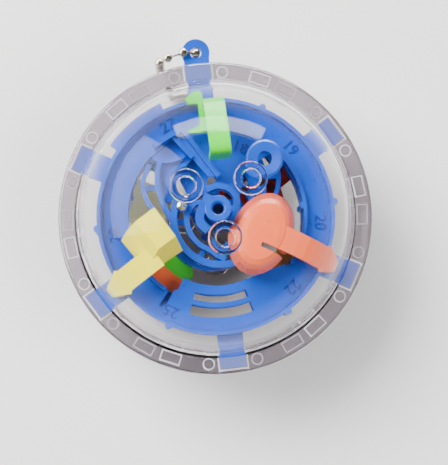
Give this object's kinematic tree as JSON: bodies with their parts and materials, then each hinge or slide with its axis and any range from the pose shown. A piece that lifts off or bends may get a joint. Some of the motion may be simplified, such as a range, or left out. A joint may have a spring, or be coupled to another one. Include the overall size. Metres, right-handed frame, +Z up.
{
  "type": "3d maze ball puzzle",
  "caption": "Clear flanged ball holding a blue marble maze with coloured gates and hoods, a steel marble, and a bead chain through the eye on its rim.",
  "frame": {"origin": "centre of the outline, on the plane of the lower feet", "axes": "+Z up along the ball's polar axis, +Y towards the eye that holds the chain, +X to the right"},
  "size_m": [0.079, 0.0852, 0.0714],
  "materials": {
    "clear": "clear polished polystyrene",
    "blue": "moulded, semi-gloss",
    "green": "moulded, semi-gloss",
    "yellow": "moulded, semi-gloss",
    "coral": "moulded, semi-gloss",
    "leaf": "moulded, semi-gloss",
    "amber": "moulded, semi-gloss",
    "cream": "moulded, semi-gloss",
    "orange": "moulded, semi-gloss",
    "red": "moulded, semi-gloss",
    "steel": "polished ball",
    "nickel": "nickel plate"
  },
  "bodies": {
    "ball": {"upper_shell": "clear", "lower_shell": "clear", "maze_frame": "blue", "upper_ring_track": "blue", "upper_slotted_bridge": "blue", "upper_spiral_rails": "blue", "upper_chute": "blue", "goal_cup": "blue", "upper_drop_disc": "blue", "green_hoop": "green", "yellow_hood": "yellow", "coral_hood": "coral", "lower_ring_track": "blue", "lower_slotted_bridge": "blue", "lower_spiral_rails": "blue", "start_cup": "blue", "leaf_scoop": "leaf", "cream_hood": "cream", "red_hood": "red", "orange_ramp": "orange", "amber_ramp": "amber", "chain_arch": "nickel"},
    "marble": {"marble": "steel"},
    "chain_upper": {"chain_mid_right": "nickel", "chain_mid_left": "nickel"},
    "chain_lower": {"chain_low_right": "nickel", "chain_low_left": "nickel", "chain_connector": "nickel"}
  },
  "joints": [
    {"name": "marble_roll", "type": "hinge", "parent": "ball", "child": "marble", "pos_m": [0.0009, -0.00392, 0.04214], "axis": [0, 0, 1], "range_deg": [0, 66]},
    {"name": "chain_swing", "type": "hinge", "parent": "ball", "child": "chain_upper", "pos_m": [-0.00014, 0.03905, 0.02823], "axis": [0.977, 0.1023, 0.187], "range_deg": [-12, 70]},
    {"name": "chain_bend", "type": "hinge", "parent": "chain_upper", "child": "chain_lower", "pos_m": [-0.0009, 0.0389, 0.01626], "axis": [0.9898, 0.0855, 0.1137], "range_deg": [-30, 60]}
  ]
}
